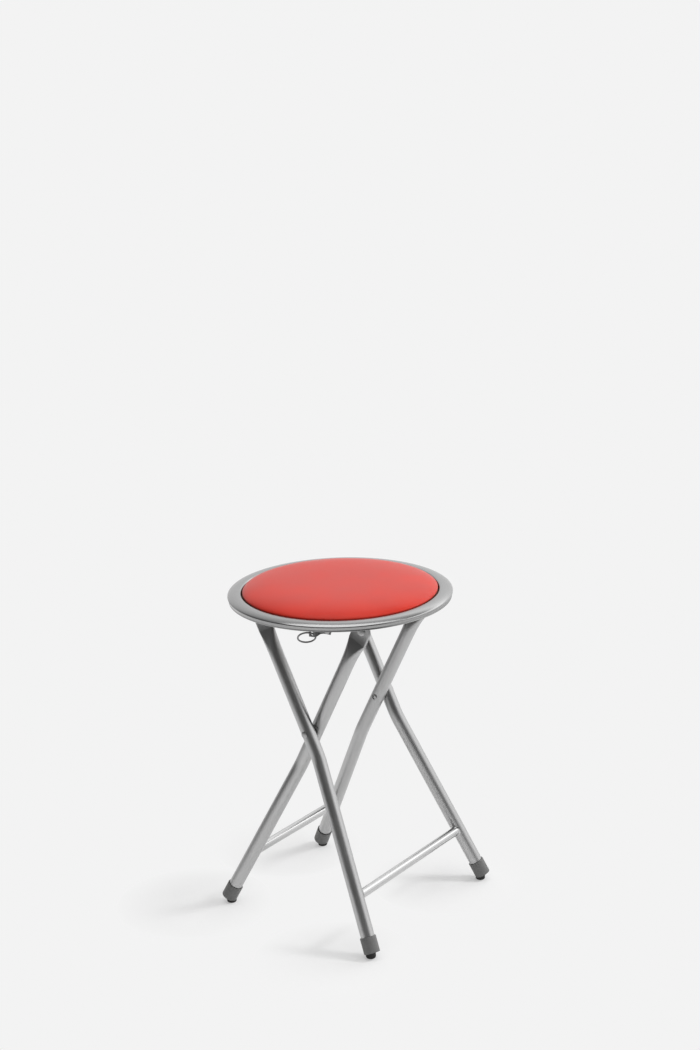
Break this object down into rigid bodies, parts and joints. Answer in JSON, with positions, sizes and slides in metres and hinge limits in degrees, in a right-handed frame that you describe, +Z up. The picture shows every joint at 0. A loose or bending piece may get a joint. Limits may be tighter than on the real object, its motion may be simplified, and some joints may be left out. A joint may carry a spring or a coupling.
{
  "type": "folding stool",
  "caption": "Round folding stool: padded seat in a metal rim on two crossed tube frames with stretchers, capped feet and a pull-ring catch under the seat.",
  "frame": {"origin": "on the floor under the middle of the seat", "axes": "+Z up, Y along the fold axes with the catch at -Y, X across the scissor with the feet of the inner frame at -X"},
  "size_m": [0.305, 0.305, 0.466],
  "materials": {
    "silver_paint": "satin silver paint",
    "zinc_steel": "zinc plated",
    "red_leatherette": "smooth coated cloth",
    "plywood": "bare",
    "grey_plastic": "matte",
    "black_rubber": "matte"
  },
  "bodies": {
    "inner_frame": {"inner_leg_near": "silver_paint", "inner_leg_far": "silver_paint", "inner_stretcher": "silver_paint", "inner_cap_near": "grey_plastic", "inner_cap_far": "grey_plastic", "inner_glide_near": "black_rubber", "inner_glide_far": "black_rubber", "pivot_rivet_near": "zinc_steel", "pivot_rivet_far": "zinc_steel", "pivot_washer_near": "grey_plastic", "pivot_washer_far": "grey_plastic"},
    "outer_frame": {"outer_leg_near": "silver_paint", "outer_leg_far": "silver_paint", "outer_stretcher": "silver_paint", "outer_cap_near": "grey_plastic", "outer_cap_far": "grey_plastic", "outer_glide_near": "black_rubber", "outer_glide_far": "black_rubber", "top_rod": "zinc_steel"},
    "seat": {"seat_rim": "silver_paint", "seat_board": "plywood", "seat_pad": "red_leatherette", "hinge_ear_near": "zinc_steel", "hinge_ear_far": "zinc_steel", "hinge_rivet_near": "zinc_steel", "hinge_rivet_far": "zinc_steel", "hinge_screw_near_a": "zinc_steel", "hinge_screw_near_b": "zinc_steel", "hinge_screw_far_a": "zinc_steel", "hinge_screw_far_b": "zinc_steel", "rod_stop_near": "zinc_steel", "rod_stop_far": "zinc_steel", "stop_screw_near_a": "zinc_steel", "stop_screw_near_b": "zinc_steel", "stop_screw_far_a": "zinc_steel", "stop_screw_far_b": "zinc_steel", "catch_ear_near": "zinc_steel", "catch_ear_far": "zinc_steel", "catch_screw_near": "zinc_steel", "catch_screw_far": "zinc_steel"},
    "catch": {"catch_shaft": "zinc_steel", "catch_lever": "zinc_steel", "catch_hook": "zinc_steel"},
    "ring": {"pull_ring": "zinc_steel"}
  },
  "joints": [
    {"name": "cross_pivot", "type": "hinge", "parent": "inner_frame", "child": "outer_frame", "pos_m": [0.0081, 0, 0.2771], "axis": [0, 1, 0], "range_deg": [0, 45]},
    {"name": "seat_hinge", "type": "hinge", "parent": "inner_frame", "child": "seat", "pos_m": [0.08514, 0, 0.42765], "axis": [0, 1, 0], "range_deg": [0, 112.5]},
    {"name": "catch_turn", "type": "hinge", "parent": "seat", "child": "catch", "pos_m": [0.0574, 0, 0.4345], "axis": [0, 1, 0], "range_deg": [-12, 0], "stiffness_Nm_per_rad": 0.1, "springref_deg": 20.05},
    {"name": "ring_swing", "type": "hinge", "parent": "catch", "child": "ring", "pos_m": [0.0388, -0.11734, 0.43045], "axis": [0, 1, 0], "range_deg": [-60, 20]}
  ],
  "couplings": [
    {"joint": "seat_hinge", "follows": "cross_pivot", "ratio": 2.5}
  ]
}
